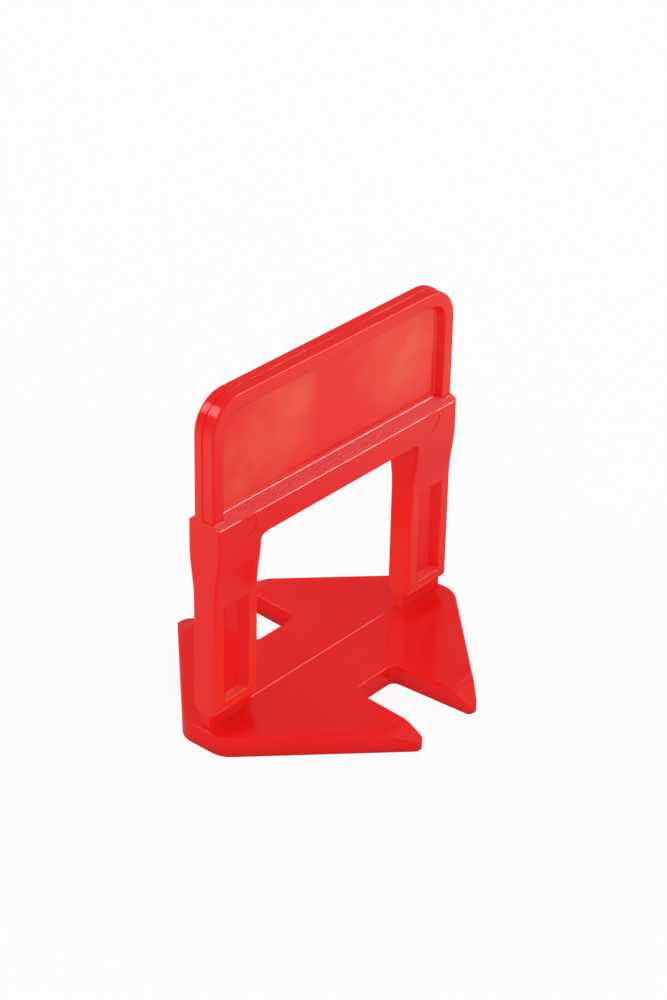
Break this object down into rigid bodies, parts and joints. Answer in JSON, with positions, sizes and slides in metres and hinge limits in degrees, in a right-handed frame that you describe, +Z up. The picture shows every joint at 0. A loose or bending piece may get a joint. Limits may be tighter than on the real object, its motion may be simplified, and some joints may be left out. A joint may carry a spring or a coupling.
{
  "type": "tile levelling clip",
  "caption": "Moulded tile levelling clip: an upright plate with a recessed head, a beam and a wedge window, on legs that break off a flat notched base at thin necks.",
  "frame": {"origin": "centre of the underside of the base, in the middle plane of the plate", "axes": "+X along the plate, +Y from the front of the plate to its back, +Z upwards from the base to the head"},
  "size_m": [0.0406, 0.0358, 0.0422],
  "materials": {
    "red_plastic": "satin as moulded, slightly translucent"
  },
  "bodies": {
    "root": {"levelling_clip": "red_plastic"}
  },
  "joints": []
}
